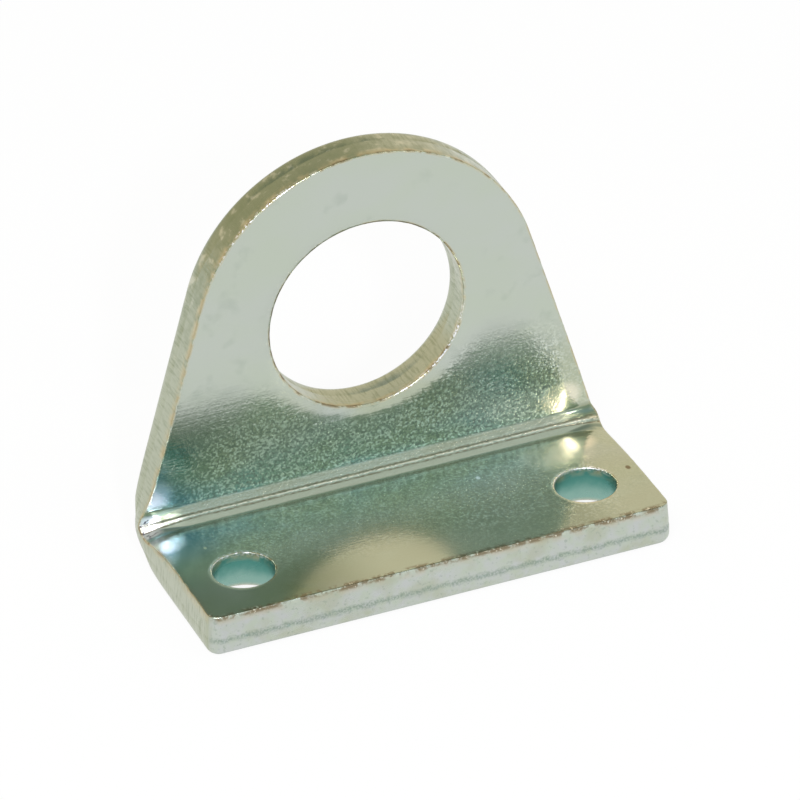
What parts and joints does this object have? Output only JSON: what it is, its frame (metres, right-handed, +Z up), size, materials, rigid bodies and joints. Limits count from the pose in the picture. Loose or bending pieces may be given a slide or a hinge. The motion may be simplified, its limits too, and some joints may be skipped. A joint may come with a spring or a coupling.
{
  "type": "cylinder foot mount",
  "caption": "Right-angle bracket folded from thick zinc-plated sheet: flat foot with screw holes, round-headed upright with a large bore for a pneumatic cylinder's threaded nose.",
  "frame": {"origin": "midway between the two foot holes, on the mounting face under the foot", "axes": "+X along the row of foot holes, +Y from the free edge to the upright along the bore axis, +Z up from the mounting face"},
  "size_m": [0.0548, 0.0248, 0.045],
  "materials": {
    "zinc_plated_steel": "bright zinc plating with a faint green and yellow passivation tint, satin"
  },
  "bodies": {
    "root": {"foot_bracket": "zinc_plated_steel"}
  },
  "joints": []
}
